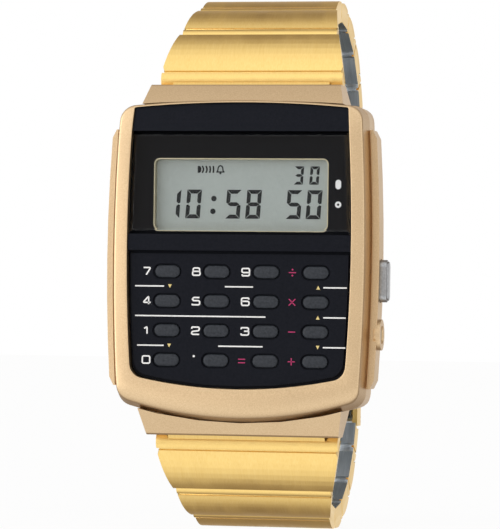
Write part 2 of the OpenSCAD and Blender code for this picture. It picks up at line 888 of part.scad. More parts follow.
// First link, with a wide knuckle round the lug bar
module first_link() {
    start = body_start + bead_r;
    len = first_pitch - start;
    color(yellow_gold) difference() {
        union() {
            translate([0, 0, start]) {
                link_body(len, link_w(0), far_width(0), bead_r + slip, bead_r - web_t);
                link_tongue(len, bead_r + slip);
            }
            across(knuckle_w) {
                circle(knuckle_r);
                translate([0, -neck_t / 2]) square([start, neck_t]);
            }
        }
        across(2 * knuckle_w) circle(bar_r + pin_fit);
        across(2 * knuckle_w) translate([first_pitch, 0]) circle(pin_r + pin_fit);
    }
}

// One of the other links, with its pin in the cheeks
module next_link(i) {
    end_r = i == links - 1 ? end_clear_r : bead_r + slip;
    color(yellow_gold) difference() {
        union() {
            link_body(link_pitch, link_w(i), far_width(i), end_r, -2 * bead_r);
            link_tongue(link_pitch, end_r);
        }
        across(link_w(i) - 2 * notch) circle(pin_r + press_gap);
        across(tongue_w + over) translate([link_pitch, 0]) circle(pin_r + pin_fit);
    }
    color(steel) across(link_w(i) - 2 * notch - 2 * skin) circle(pin_r);
}

// Link i of the upper half, in its place; the first is number 0
module bracelet_link(i) {
    translate([0, pin_at(i)[0], pin_at(i)[1]]) rotate([-turn_of(i), 0, 0])
        if (i == 0) first_link(); else next_link(i);
}

// The bar between the upper half and the clasp, drawn back into the last link's eye
module clasp_bar() {
    color(steel) translate([0, end_pin[0], end_pin[1]]) rotate([0, 90, 0])
        cylinder(h = tongue_w - 2 * skin, r = pin_r, center = true);
}

// A round bar or bore across the watch at a depth and height
module cross_bar(place, w, r) {
    translate([0, place[0], place[1]]) rotate([0, 90, 0]) cylinder(h = w, r = r, center = true);
}

// A flat piece of the clasp, lying along z at a depth
module blade(w, low, high, y) {
    translate([-w / 2, y - sheet_t / 2, low]) cube([w, sheet_t, high - low]);
}

// Slot with round ends that lightens a blade, centred at a height
module blade_slot(z) {
    translate([0, end_pin[0] + cover_h, z]) rotate([90, 0, 0])
        linear_extrude(2 * cover_h) rotate(90) stadium(slot_l, slot_w);
}

// Section of the cover: a shallow channel with round shoulders
module cover_section() {
    half = clasp_w / 2;
    difference() {
        translate([0, cover_out_y - cover_h]) plate_upright(half, cover_h, 2 * sheet_t);
        translate([0, cover_out_y - cover_h - sheet_t]) plate_upright(half - sheet_t, cover_h, sheet_t);
    }
}

// Rectangle from zero up to h with round upper corners
module plate_upright(x, h, r) {
    translate([-x, 0]) square([2 * x, h - r]);
    translate([r - x, 0]) square([2 * (x - r), h]);
    for (i = [-1, 1]) translate([i * (x - r), h - r]) circle(r);
}

// Side view of the cover's walls, in depth and height
module cover_side() {
    rim = cover_out_y - cover_h;
    low = hinge_z - hinge_r - 2 * slip;
    polygon([
        [rim, low], [cover_out_y - sheet_t, low], [cover_out_y, low + sheet_t],
        [cover_out_y, plate_top], [end_pin[0] + eye_r, end_pin[1] + eye_r / 2],
        [end_pin[0], end_pin[1] + eye_r / 2], [rim, end_pin[1]]]);
    translate(end_pin) circle(eye_r);
}

module clasp_cover() {
    low = hinge_z - 2 * hinge_r;
    color(yellow_gold) difference() {
        intersection() {
            translate([0, 0, low]) linear_extrude(end_pin[1] + eye_r + over - low) cover_section();
            sideways(-clasp_w, clasp_w) cover_side();
        }
        translate([sheet_t - clasp_w / 2, 0, plate_top])
            cube([clasp_w - 2 * sheet_t, cover_out_y + over, cover_h]);
        cross_bar([mid_y, hinge_z], 2 * clasp_w, pin_r + press_gap);
        cross_bar(end_pin, 2 * clasp_w, pin_r + pin_fit);
    }
    color(steel) cross_bar([mid_y, hinge_z], clasp_w - 2 * skin, pin_r);
}

module clasp_mid_blade() {
    color(steel) {
        difference() {
            union() {
                blade(blade_w, hinge_z, fold_z, mid_y);
                cross_bar([mid_y, hinge_z], clasp_w - 2 * sheet_t - 2 * hinge_side, hinge_r);
                cross_bar([fold_y, fold_z], 2 * fold_w, fold_r);
            }
            translate([-fold_w / 2 - slip, 0, fold_z - fold_r - 2 * slip])
                cube([fold_w + 2 * slip, cover_out_y, cover_h]);
            cross_bar([mid_y, hinge_z], clasp_w, pin_r + pin_fit);
            cross_bar([fold_y, fold_z], clasp_w, pin_r + press_gap);
            blade_slot((hinge_z + fold_z) / 2);
        }
        cross_bar([fold_y, fold_z], 2 * fold_w - 2 * skin, pin_r);
    }
}

module clasp_end_blade() {
    low = -end_pin[1];
    clear = eye_r + slip;
    color(steel) {
        difference() {
            union() {
                blade(blade_w, low, fold_z, end_y);
                cross_bar([fold_y, fold_z], fold_w, fold_r);
                cross_bar([end_pin[0], low], blade_w, eye_r);
            }
            translate([-tongue_w / 2 - slip, 0, low - cover_h])
                cube([tongue_w + 2 * slip, cover_out_y, cover_h + clear]);
            for (k = [0, 1]) mirror([k, 0, 0])
                translate([fold_w / 2, 0, fold_z - fold_r - 2 * slip])
                    cube([blade_w, cover_out_y, cover_h]);
            cross_bar([fold_y, fold_z], clasp_w, pin_r + pin_fit);
            cross_bar([end_pin[0], low], clasp_w, pin_r + press_gap);
            blade_slot((low + fold_z) / 2);
        }
        cross_bar([end_pin[0], low], blade_w - 2 * skin, pin_r);
    }
}

case_body();
bezel();
face_panel();
display_glass();
display_mask();
lcd_frame();
lcd_cell();
keypad_mat();
zebra_strips();
circuit_board();
module_frame();
battery();
battery_clip();
buzzer();
buzzer_spring();
case_back();
back_gasket();
back_screws();
button_gaskets();
mode_button();
adjust_button();
spring_bar();  // spring_bar_upper
mirror([0, 0, 1]) spring_bar();  // spring_bar_lower
clasp_cover();
clasp_mid_blade();
clasp_end_blade();
for (k = [0 : len(KEYS) - 1]) key_cap(k);
for (i = [0 : links - 1]) union() {
    bracelet_link(i);
    if (i == links - 1) clasp_bar();
}
for (i = [0 : links - 1]) mirror([0, 0, 1]) bracelet_link(i);
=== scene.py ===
import json
import math
import bpy
import bmesh
from mathutils import Matrix, Vector


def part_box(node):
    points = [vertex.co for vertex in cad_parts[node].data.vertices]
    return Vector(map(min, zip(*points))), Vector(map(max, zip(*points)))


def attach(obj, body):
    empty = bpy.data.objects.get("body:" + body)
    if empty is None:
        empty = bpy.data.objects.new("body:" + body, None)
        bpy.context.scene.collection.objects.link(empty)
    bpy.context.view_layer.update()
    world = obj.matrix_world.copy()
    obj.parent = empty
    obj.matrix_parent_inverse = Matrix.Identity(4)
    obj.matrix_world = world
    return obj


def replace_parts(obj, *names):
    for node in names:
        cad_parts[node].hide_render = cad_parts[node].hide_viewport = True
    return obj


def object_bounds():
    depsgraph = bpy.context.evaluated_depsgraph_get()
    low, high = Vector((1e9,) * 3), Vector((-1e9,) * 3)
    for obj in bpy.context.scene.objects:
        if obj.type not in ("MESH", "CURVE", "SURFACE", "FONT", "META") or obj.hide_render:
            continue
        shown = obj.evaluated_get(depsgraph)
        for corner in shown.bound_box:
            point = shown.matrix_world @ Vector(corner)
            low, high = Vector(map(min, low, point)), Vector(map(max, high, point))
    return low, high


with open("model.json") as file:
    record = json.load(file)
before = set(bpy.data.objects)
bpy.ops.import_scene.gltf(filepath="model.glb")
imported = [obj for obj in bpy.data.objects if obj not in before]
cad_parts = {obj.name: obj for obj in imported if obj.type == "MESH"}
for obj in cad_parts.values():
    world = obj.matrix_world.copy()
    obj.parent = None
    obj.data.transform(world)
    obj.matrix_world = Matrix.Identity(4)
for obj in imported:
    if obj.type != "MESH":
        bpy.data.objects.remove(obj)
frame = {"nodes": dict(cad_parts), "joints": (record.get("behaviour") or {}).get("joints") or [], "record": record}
cad_low, cad_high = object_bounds()
nodes = frame["nodes"]
joints = {joint["name"]: joint for joint in frame["joints"]}
subparts = frame["record"]["subparts"]
MM = 0.001

# Levels of the watch's front, in millimetres before the frame's origin
PANEL_DROP = 0.7
BEZEL_FRONT = -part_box("bezel")[0].y / MM
BEZEL_SEAT = -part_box("bezel")[1].y / MM
FIELD = BEZEL_FRONT - PANEL_DROP
LCD_FACE = -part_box("lcd_cell")[0].y / MM
MASK_FACE = -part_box("display_mask")[0].y / MM

# Camera of the photograph: angles in degrees, and the point that the middle of the picture shows
AZIMUTH = 11.0
ELEVATION = -1.2
ROLL = 0.8
DISTANCE = 400 * MM
PIXELS_PER_MM = 8.42
FRAME_PIXELS = 529
AIM = Vector((1.33 * MM, -7.5 * MM, -0.55 * MM))
SENSOR = 36
CLIP_NEAR = 0.01
CLIP_FAR = 20

# Patterns in the materials: scales are features per metre, and depths are millimetres
PATTERN_LOW = 0.3        # nearly all of a noise pattern lies between these two
PATTERN_HIGH = 0.7
BLOTCHES = 160           # broad change of a blasted metal's shine
BLASTED_SHINE = 0.03
BRUSHED_SHINE = 0.05
BRUSHED_PULL = 0.35
WIDER_ACROSS = 9         # a brushed metal's wide streaks against its fine ones
WIDER_ALONG = 4
MOULDED_SHINE = (0.04, 0.06)
FINE_NOISE = (3.0, 0.6)  # detail and roughness of a pattern
STREAK_NOISE = (4.0, 0.65)
GLASS_TINT = (0.93, 0.95, 0.96, 1)
GLASS_IOR = 1.3
GLASS_SHINE = (0.015, 0.04)
GLASS_HAZE = 90


# Materials
def add(tree, kind, settings=None, inputs=None):
    """A new shader node, with its settings and the plain values of its sockets"""
    made = tree.nodes.new(kind)
    for key, value in (settings or {}).items():
        setattr(made, key, value)
    for key, value in (inputs or {}).items():
        made.inputs[key].default_value = value
    return made


def place(tree, scale=(1, 1, 1), attribute=None):
    """Object coordinates, or those of a point attribute, stretched by a scale"""
    if attribute:
        source = add(tree, "ShaderNodeAttribute", {"attribute_name": attribute}).outputs["Vector"]
    else:
        source = add(tree, "ShaderNodeTexCoord").outputs["Object"]
    mapping = add(tree, "ShaderNodeMapping", None, {"Scale": scale})
    tree.links.new(source, mapping.inputs["Vector"])
    return mapping.outputs["Vector"]


def noise(tree, coords, scale, detail=2.0, roughness=0.5):
    """A noise pattern with features of about 1 / scale metres"""
    made = add(tree, "ShaderNodeTexNoise", None, {"Scale": scale, "Detail": detail, "Roughness": roughness})
    tree.links.new(coords, made.inputs["Vector"])
    return made.outputs["Fac"]


def spread(tree, value, low, high, low_in=PATTERN_LOW, high_in=PATTERN_HIGH):
    """A pattern's values, brought from one range to another"""
    made = add(tree, "ShaderNodeMapRange", None, {
        "From Min": low_in, "From Max": high_in, "To Min": low, "To Max": high})
    tree.links.new(value, made.inputs["Value"])
    return made.outputs["Result"]


def blend_colours(tree, factor, first, second):
    """A colour between two, by a pattern"""
    ramp = add(tree, "ShaderNodeValToRGB")
    for stop, colour, position in zip(ramp.color_ramp.elements, (first, second), (PATTERN_LOW, PATTERN_HIGH)):
        stop.color = (*colour, 1)
        stop.position = position
    tree.links.new(factor, ramp.inputs["Fac"])
    return ramp.outputs["Color"]


def bump(tree, height, distance):
    """A surface raised by a pattern"""
    made = add(tree, "ShaderNodeBump", None, {"Distance": distance, "Strength": 1.0})
    tree.links.new(height, made.inputs["Height"])
    return made.outputs["Normal"]


def material(name, **values):
    """A new material, its node tree and its shader, with plain values for the shader's sockets"""
    made = bpy.data.materials.new(name)
    made.use_nodes = True
    shader = made.node_tree.nodes["Principled BSDF"]
    for key, value in values.items():
        shader.inputs[key.replace("_", " ")].default_value = value
    return made, made.node_tree, shader


def grained_metal(name, first, second, rough, grain=7000, depth=0.004):
    """Bead-blasted plating: a fine even grain in its colour, its shine and its surface"""
    made, tree, shader = material(name, Metallic=1.0)
    fine = noise(tree, place(tree), grain, *FINE_NOISE)
    broad = noise(tree, place(tree), BLOTCHES)
    links = tree.links
    links.new(blend_colours(tree, fine, first, second), shader.inputs["Base Color"])
    links.new(spread(tree, broad, rough - BLASTED_SHINE, rough + BLASTED_SHINE), shader.inputs["Roughness"])
    links.new(bump(tree, fine, depth * MM), shader.inputs["Normal"])
    return made


def brushed_metal(name, first, second, rough, along=260, across=9000, depth=0.003):
    """Satin metal, with fine streaks along the second coordinate of its grain"""
    made, tree, shader = material(name, Metallic=1.0, Anisotropic=BRUSHED_PULL)
    streaks = noise(tree, place(tree, (across, along, across), "grain"), 1.0, *STREAK_NOISE)
    wider = (across / WIDER_ACROSS, along / WIDER_ALONG, across / WIDER_ACROSS)
    wide = noise(tree, place(tree, wider, "grain"), 1.0)
    links = tree.links
    links.new(blend_colours(tree, streaks, first, second), shader.inputs["Base Color"])
    links.new(spread(tree, wide, rough - BRUSHED_SHINE, rough + BRUSHED_SHINE), shader.inputs["Roughness"])
    links.new(bump(tree, streaks, depth * MM), shader.inputs["Normal"])
    return made


def moulded(name, first, second, rough, grain=5000, depth=0.004, **values):
    """Moulded plastic, rubber or print with a fine mottle"""
    made, tree, shader = material(name, **values)
    fine = noise(tree, place(tree), grain, *FINE_NOISE)
    links = tree.links
    links.new(blend_colours(tree, fine, first, second), shader.inputs["Base Color"])
    links.new(spread(tree, fine, rough - MOULDED_SHINE[0], rough + MOULDED_SHINE[1]),
              shader.inputs["Roughness"])
    links.new(bump(tree, fine, depth * MM), shader.inputs["Normal"])
    return made


def clear_glass(name):
    """Clear mineral glass that lets the lamps through to what lies behind it"""
    made, tree, shader = material(name, Base_Color=GLASS_TINT, IOR=GLASS_IOR, Transmission_Weight=1.0)
    haze = noise(tree, place(tree), GLASS_HAZE)
    clear = add(tree, "ShaderNodeBsdfTransparent", None, {"Color": GLASS_TINT})
    path = add(tree, "ShaderNodeLightPath")
    mix = add(tree, "ShaderNodeMixShader")
    links = tree.links
    links.new(spread(tree, haze, *GLASS_SHINE), shader.inputs["Roughness"])
    links.new(path.outputs["Is Shadow Ray"], mix.inputs[0])
    links.new(shader.outputs[0], mix.inputs[1])
    links.new(clear.outputs[0], mix.inputs[2])
    links.new(mix.outputs[0], tree.nodes["Material Output"].inputs["Surface"])
    return made


case_gold = grained_metal("case_gold_plating", (0.66, 0.475, 0.275), (0.78, 0.585, 0.36), 0.42)
band_gold = brushed_metal("bracelet_gold_plating", (0.91, 0.63, 0.21), (0.98, 0.71, 0.27), 0.34)
band_steel = brushed_metal("bracelet_inner_steel", (0.36, 0.40, 0.43), (0.52, 0.57, 0.61), 0.34)
satin_steel = grained_metal("satin_steel", (0.34, 0.35, 0.36), (0.48, 0.49, 0.50), 0.32, 4000, 0.003)
bright_steel = grained_metal("bright_steel", (0.62, 0.62, 0.63), (0.74, 0.74, 0.75), 0.22, 3000, 0.002)
brass = grained_metal("buzzer_brass", (0.55, 0.38, 0.13), (0.68, 0.50, 0.20), 0.3, 3000, 0.002)
panel_black = moulded("panel_black", (0.0040, 0.0040, 0.0062), (0.0075, 0.0072, 0.0105), 0.48, 3500, 0.002,
                      Specular_IOR_Level=0.13, Specular_Tint=(0.72, 0.84, 1, 1))
mask_black = moulded("mask_black", (0.012, 0.012, 0.020), (0.018, 0.018, 0.027), 0.45, 2000, 0.001)
key_grey = moulded("key_grey", (0.014, 0.017, 0.022), (0.038, 0.043, 0.053), 0.5, 3600, 0.012,
                   Specular_IOR_Level=0.28)
rubber = moulded("silicone_rubber", (0.02, 0.02, 0.022), (0.035, 0.035, 0.037), 0.6)
board_green = moulded("board_green", (0.02, 0.12, 0.05), (0.04, 0.17, 0.08), 0.45)
frame_black = moulded("frame_black", (0.02, 0.02, 0.02), (0.035, 0.035, 0.035), 0.5)
lcd_grey = moulded("display_grey", (0.355, 0.380, 0.350), (0.385, 0.410, 0.380), 0.55, 2500, 0.0005)
lcd_gold = grained_metal("display_rim_gold", (0.50, 0.43, 0.28), (0.62, 0.54, 0.36), 0.4)
ink_white = moulded("white_ink", (0.80, 0.80, 0.79), (0.90, 0.90, 0.89), 0.5, 2500, 0.001)
ink_gold = moulded("yellow_ink", (0.72, 0.56, 0.20), (0.82, 0.66, 0.28), 0.5, 2500, 0.001)
ink_red = moulded("magenta_ink", (0.40, 0.014, 0.10), (0.50, 0.024, 0.14), 0.5, 2500, 0.001)
lcd_ink = moulded("display_segments", (0.0012, 0.0015, 0.0022), (0.0022, 0.0026, 0.0036), 0.6, 2500, 0.0005,
                  Specular_IOR_Level=0.1)
glass = clear_glass("display_glass_clear")

# Edges of the pieces: widths in millimetres, and angles in degrees
SOFT_EDGE = 0.06
BLADE_EDGE = 0.05
FINE_EDGE = 0.03
GLASS_EDGE = 0.02
BUTTON_EDGE = 0.08
BACK_EDGE = 0.10
WELD = 0.0005            # points that lie this close are one
FLAT_TURN = 0.5          # faces that turn less are one
SHARP_TURN = 28          # edges that turn more are rounded
SMOOTH_TURN = 35         # edges that turn less are shaded as one surface
GLASS_SMOOTH = 12
BEZEL_SMOOTH = 40
KEY_SMOOTH = 60
ROUND = 3                # steps of an edge that is seen from near


# Making pieces
def new_piece(name, mesh, body, surface):
    """A piece of the model from its mesh, riding on a body"""
    made = bpy.data.objects.new(name, mesh)
    bpy.context.scene.collection.objects.link(made)
    made.data.materials.append(surface)
    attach(made, body)
    return made


def smooth(mesh, turn=SMOOTH_TURN):
    """Smooth shading, apart from the edges that turn more"""
    for face in mesh.polygons:
        face.use_smooth = True
    mesh.set_sharp_from_angle(angle=math.radians(turn))


def body_of(node):
    """The body that a node belongs to"""
    return next(body for body, members in frame["record"]["behaviour"]["bodies"].items() if node in members)


def even_shading(made):
    """Lets the large faces keep their own direction, so that only the rounded edges blend"""
    weighted = made.modifiers.new("even_shading", "WEIGHTED_NORMAL")
    weighted.keep_sharp = True
    weighted.weight = 100


def softened(node, surface, width, steps=2, turn=SMOOTH_TURN):
    """A copy of a CAD node with its edges rounded, which stands for it"""
    cut = bmesh.new()
    cut.from_mesh(nodes[node].data)
    bmesh.ops.remove_doubles(cut, verts=cut.verts, dist=WELD * MM)
    bmesh.ops.dissolve_limit(cut, angle_limit=math.radians(FLAT_TURN), verts=cut.verts, edges=cut.edges)
    limit = math.radians(SHARP_TURN)
    sharp = [edge for edge in cut.edges if len(edge.link_faces) == 2 and edge.calc_face_angle(0) > limit]
    bmesh.ops.bevel(cut, geom=sharp, offset=width * MM, segments=steps, profile=0.5,
                    affect="EDGES", clamp_overlap=True)
    mesh = bpy.data.meshes.new(node + "_finish")
    cut.to_mesh(mesh)
    cut.free()
    smooth(mesh, turn)
    made = new_piece(node + "_finish", mesh, body_of(node), surface)
    even_shading(made)
    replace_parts(made, node)
    return made


def dress(node, surface):
    """Gives a CAD node its finished material"""
    mesh = nodes[node].data
    mesh.materials.clear()
    mesh.materials.append(surface)


# Outlines
EDGE_POINTS = 24
CORNER_POINTS = 8


def bowed(a, b, bow, t):
    """Point at share t of an edge from a to b that bulges by bow, and its direction"""
    side = Vector((-(b - a).y, (b - a).x)).normalized()
    point = a + (b - a) * t + side * 4 * bow * t * (1 - t)
    return point, ((b - a) + side * 4 * bow * (1 - 2 * t)).normalized()


def curve(p0, p1, p2, p3, t):
    """Point at share t of a cubic curve"""
    return p0 * (1 - t) ** 3 + p1 * 3 * t * (1 - t) ** 2 + p2 * 3 * t * t * (1 - t) + p3 * t ** 3


def barrel(w, top, bottom, top_bow, bottom_bow, side_bow, radius, top_radius):
    """Closed outline with four bowed edges and round corners, in millimetres"""
    radii = (radius, top_radius, top_radius, radius)
    corners = [Vector(p) for p in ((-w / 2, -bottom), (-w / 2, top), (w / 2, top), (w / 2, -bottom))]
    bows = (side_bow, top_bow, side_bow, bottom_bow)
    edges = [(corners[k], corners[(k + 1) % 4], bows[k]) for k in range(4)]
    trims = []
    for k in range(4):
        _, before = bowed(*edges[k - 1], 1)
        _, after = bowed(*edges[k], 0)
        turn = before.angle(after)
        trims.append((radii[k] * math.tan(turn / 2), turn))
    points = []
    for k in range(4):
        a, b, bow = edges[k]
        length = (b - a).length
        start = trims[k][0] / length
        end = 1 - trims[(k + 1) % 4][0] / length
        for i in range(EDGE_POINTS):
            points.append(bowed(a, b, bow, start + (end - start) * i / EDGE_POINTS)[0])
        p0, d0 = bowed(a, b, bow, end)
        after_edge = edges[(k + 1) % 4]
        reach = trims[(k + 1) % 4][0] / (after_edge[1] - after_edge[0]).length
        p3, d3 = bowed(*after_edge, reach)
        handle = 4 / 3 * math.tan(trims[(k + 1) % 4][1] / 4) * radii[(k + 1) % 4]
        for i in range(CORNER_POINTS):
            points.append(curve(p0, p0 + d0 * handle, p3 - d3 * handle, p3, i / CORNER_POINTS))
    return points


def lofted(name, rings, closed=True):
    """A mesh through rings of points (x, y, level), in millimetres seen from the front"""
    made = bmesh.new()
    loops = [[made.verts.new((x * MM, -level * MM, y * MM)) for x, y, level in ring] for ring in rings]
    pairs = list(zip(loops, loops[1:] + loops[:1])) if closed else list(zip(loops, loops[1:]))
    for one, other in pairs:
        for i in range(len(one)):
            j = (i + 1) % len(one)
            made.faces.new((one[i], one[j], other[j], other[i]))
    bmesh.ops.recalc_face_normals(made, faces=made.faces)
    mesh = bpy.data.meshes.new(name)
    made.to_mesh(mesh)
    made.free()
    return mesh


# Bezel: its outline, its two front strips that fall away, and its window, in millimetres
BEZEL_W = 29.2
BEZEL_DRAFT = 0.4
BEZEL_TOP = 18.3
BEZEL_BOTTOM = 16.7
BEZEL_CORNER = 2.0
BEZEL_EDGE = 0.25
TOP_BOW = 0.6
SIDE_BOW = 0.6
CHIN_BOW = 2.3
CHIN_GROOVE = 0.35
CHIN_FALL = 1.4
CHIN_IN = 2.8
TOP_IN = 5.0
TOP_TURN = math.radians(60)
TOP_IN_FROM_CAD = 0.05
STRIP_W = 1.65
STRIP_FALL = 0.06
RIM_W = 0.15
WINDOW_BOTTOM = 13.9
WINDOW_BOW = 1.5
WINDOW_R = 1.8
WINDOW_TOP_R = 0.3
WINDOW_EDGE = 0.06
ROLL_STEPS = 6
FLAT_STEPS = 14
EDGE_STEPS = 4


def front_level(x, y):
    """Level of the bezel's front, which falls away at its upper and lower ends"""
    bulge = 1 - (2 * x / BEZEL_W) ** 2
    upper = (BEZEL_TOP + RIM_W / 2 + TOP_BOW * bulge - y) / TOP_IN
    lower = (BEZEL_BOTTOM + CHIN_BOW * bulge + y) / CHIN_IN
    sine = max(0, min(1, max((1 - upper) * math.sin(TOP_TURN), 1 - lower)))
    strip = max(0, abs(x) - BEZEL_W / 2 + STRIP_W) / STRIP_W
    return BEZEL_FRONT - CHIN_FALL * (1 - math.sqrt(1 - sine * sine)) - STRIP_FALL * strip * strip


def bezel_ring(grow, foot, drop):
    """Outline of the bezel's outside, grown at the sides, and at the chin by foot"""
    outline = barrel(BEZEL_W + 2 * grow, BEZEL_TOP - TOP_IN_FROM_CAD + min(0, grow), BEZEL_BOTTOM + foot,
                     TOP_BOW + RIM_W, CHIN_BOW, SIDE_BOW, BEZEL_CORNER, BEZEL_CORNER)
    return [(p.x, p.y, front_level(p.x, p.y) - drop) for p in outline]


def window_ring(grow, drop):
    """Outline of the bezel's window, grown all round"""
    outline = barrel(BEZEL_W - 2 * STRIP_W + 2 * grow, BEZEL_TOP - RIM_W + grow, WINDOW_BOTTOM + grow,
                     TOP_BOW, WINDOW_BOW, SIDE_BOW, WINDOW_R + grow, WINDOW_TOP_R + grow)
    return [(p.x, p.y, front_level(p.x, p.y) - drop) for p in outline]


def between(one, other, share):
    """A ring between two others, on the bezel's front"""
    made = [[a + (b - a) * share for a, b in zip(p, q)] for p, q in zip(one, other)]
    return [(x, y, front_level(x, y)) for x, y, _ in made]


def make_bezel():
    """The bezel: up its outside, over its rolled edge and its front, and down its window"""
    foot = bezel_ring(BEZEL_DRAFT, CHIN_GROOVE + RIM_W / 2, 0)
    rings = [[(x, y, BEZEL_SEAT) for x, y, _ in foot]]
    for i in range(ROLL_STEPS + 1):
        turn = i / ROLL_STEPS * math.pi / 2
        inset = BEZEL_EDGE * (1 - math.cos(turn))
        rings.append(bezel_ring(-inset, -inset, BEZEL_EDGE * (1 - math.sin(turn))))
    outer = rings[-1]
    inner = window_ring(WINDOW_EDGE, 0)
    rings += [between(outer, inner, i / FLAT_STEPS) for i in range(1, FLAT_STEPS)]
    for i in range(EDGE_STEPS + 1):
        turn = i / EDGE_STEPS * math.pi / 2
        rings.append(window_ring(WINDOW_EDGE * (1 - math.sin(turn)), WINDOW_EDGE * (1 - math.cos(turn))))
    rings.append([(x, y, BEZEL_SEAT) for x, y, _ in rings[-1]])
    mesh = lofted("bezel_finish", rings)
    smooth(mesh, BEZEL_SMOOTH)
    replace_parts(new_piece("bezel_finish", mesh, "case", case_gold), "bezel")


make_bezel()

# Lugs: where they start and end and their front's level, in millimetres, and for the upper
# and the lower one the share that its end is wider by and its fall there
LUG_FROM = 18.0
LUG_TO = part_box("case_body")[1].z / MM
LUG_FRONT = 4.4
LUG_CHANGES = {1: (0.014, 0.2), -1: (0.026, 0.8)}


def draw_lugs(made):
    """Widens the lugs a little towards their ends, and lets their fronts fall further"""
    for vertex in made.data.vertices:
        for sign, (wider, fall) in LUG_CHANGES.items():
            share = (sign * vertex.co.z / MM - LUG_FROM) / (LUG_TO - LUG_FROM)
            if share > 0:
                vertex.co.x *= 1 + wider * share
                if -vertex.co.y / MM > LUG_FRONT:
                    vertex.co.y += fall * share * MM


draw_lugs(softened("case_body", case_gold, SOFT_EDGE))

# Bracelet, in millimetres: each link gets local directions, along the band and out of the loop
LINKS = 7
BEAD_R = 1.25
BODY_GAP = 0.3
ARCH_CUTS = 8
ARCH_FROM = 0.6          # only what lies further out than this is arched
ARCH_GROOVE = 0.06       # share of a link's length that its groove takes
ARCH_SIDE = 7.2          # only what lies further from the middle than this is shifted
LINK_ARCH = 0.05         # rise of the arch as a share of a link's length
LINK_SIDES = {1: (0.32, -0.32), 2: (0.18, -0.24)}    # shift of the sides at a link's start and end
GRAIN_CHANGE = 0.37      # keeps the streaks of one link from going on in the next
INNER_FACING = -0.25     # a face that looks further into the loop is steel
SIDE_FACING = 0.5        # so is one within the fold that doesn't look sideways more than this
INNER_LEVEL = -0.55


def pivot(name):
    """Where a joint's pivot lies"""
    return Vector(joints[name]["pos_m"])


def chain_frame(half, number):
    """Pivot of a link and the direction along it to the next pivot"""
    start = pivot(f"{half}_hinge_{number}")
    if number < LINKS:
        after = pivot(f"{half}_hinge_{number + 1}")
    else:
        after = pivot("clasp_end_hinge")
        if half == "upper":
            after.z = -after.z
    return start, (after - start).normalized()


def grain(mesh, start, along):
    """Stores (across, along, outward) in metres at each point, for the brushed finish"""
    out = Vector((1, 0, 0)).cross(along)
    kept = mesh.attributes.new("grain", "FLOAT_VECTOR", "POINT")
    for i, vertex in enumerate(mesh.vertices):
        away = vertex.co - start
        kept.data[i].vector = (away.x + GRAIN_CHANGE * start.z, away.dot(along) + start.y, away.dot(out))


def arch(mesh, start, along, outward, length, sides):
    """Rounds a link's outer face a little more along the band, and draws its sides to the next link"""
    cut = bmesh.new()
    cut.from_mesh(mesh)
    for i in range(1, ARCH_CUTS):
        bmesh.ops.bisect_plane(cut, geom=cut.verts[:] + cut.edges[:] + cut.faces[:],
                               plane_co=start + along * length * i / ARCH_CUTS, plane_no=along)
    for vertex in cut.verts:
        away = vertex.co - start
        share = max(0, min(1, away.dot(along) / length))
        if away.dot(outward) > ARCH_FROM * MM:
            vertex.co += outward * LINK_ARCH * 4 * share * (1 - share) * length
        if share > ARCH_GROOVE and abs(vertex.co.x) > ARCH_SIDE * MM:
            vertex.co.x += math.copysign(MM, vertex.co.x) * (sides[0] + (sides[1] - sides[0]) * share)
    cut.to_mesh(mesh)
    cut.free()


def make_link(half, sign, number):
    """A link with its arched outer face in gold and the inside of its fold in steel"""
    start, along = chain_frame(half, number)
    outward = Vector((1, 0, 0)).cross(along) * sign
    made = softened(f"{half}_link_{number}", band_gold, SOFT_EDGE)
    made.data.materials.append(band_steel)
    if number < LINKS:
        case_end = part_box("case_body")[1].z
        hidden = case_end - abs(start.z) + (BEAD_R + BODY_GAP) * MM if number == 1 else 0
        body = start + along * hidden
        length = (pivot(f"{half}_hinge_{number + 1}") - body).length
        arch(made.data, body, along, outward, length, LINK_SIDES.get(number, (0, 0)))
    grain(made.data, start, along)
    for face in made.data.polygons:
        within = (face.center - start).dot(outward) < INNER_LEVEL * MM
        if face.normal.dot(outward) < INNER_FACING or (abs(face.normal.x) < SIDE_FACING and within):
            face.material_index = 1


for half, sign in (("upper", 1), ("lower", -1)):
    for number in range(1, LINKS + 1):
        make_link(half, sign, number)

for name in ("clasp_end_blade", "clasp_mid_blade", "clasp_cover"):
    blade = softened(name, band_gold if name == "clasp_cover" else band_steel, BLADE_EDGE)
    grain(blade.data, Vector((0, 0, 0)), Vector((0, 0, 1)))

# Other nodes that keep their CAD shape
for name in ("mode_button", "adjust_button"):
    softened(name, satin_steel, BUTTON_EDGE, ROUND)
softened("face_panel", panel_black, FINE_EDGE)
softened("display_glass", glass, GLASS_EDGE, 1, GLASS_SMOOTH)
softened("case_back", satin_steel, BACK_EDGE, ROUND)
softened("back_screws", bright_steel, FINE_EDGE)
softened("lcd_frame", lcd_gold, FINE_EDGE)
for name, surface in {
        "display_mask": mask_black, "lcd_cell": lcd_grey, "keypad_mat": rubber, "zebra_strips": rubber,
        "circuit_board": board_green, "module_frame": frame_black, "battery": bright_steel,
        "battery_clip": bright_steel, "buzzer": brass, "buzzer_spring": bright_steel,
        "back_gasket": rubber, "button_gaskets": rubber, "spring_bar_upper": satin_steel,
        "spring_bar_lower": satin_steel}.items():
    dress(name, surface)

# Keys, in millimetres: a pillow-shaped cap on its flange
KEY_NAMES = [subpart["node"] for subpart in subparts if subpart["node"].startswith("key_")]
FLANGE_T = 0.7
FLANGE_OVER_L = 0.8      # the flange's length and width against the cap's
FLANGE_OVER_W = 0.5
FOOT_SEED = (0.02, 0.01)
PILLOW_IN = 0.42
PILLOW_FALL = 0.22
PILLOW_STEPS = 8
CROWN = (0.9, 0.03)
CROWN_RISE = 0.05


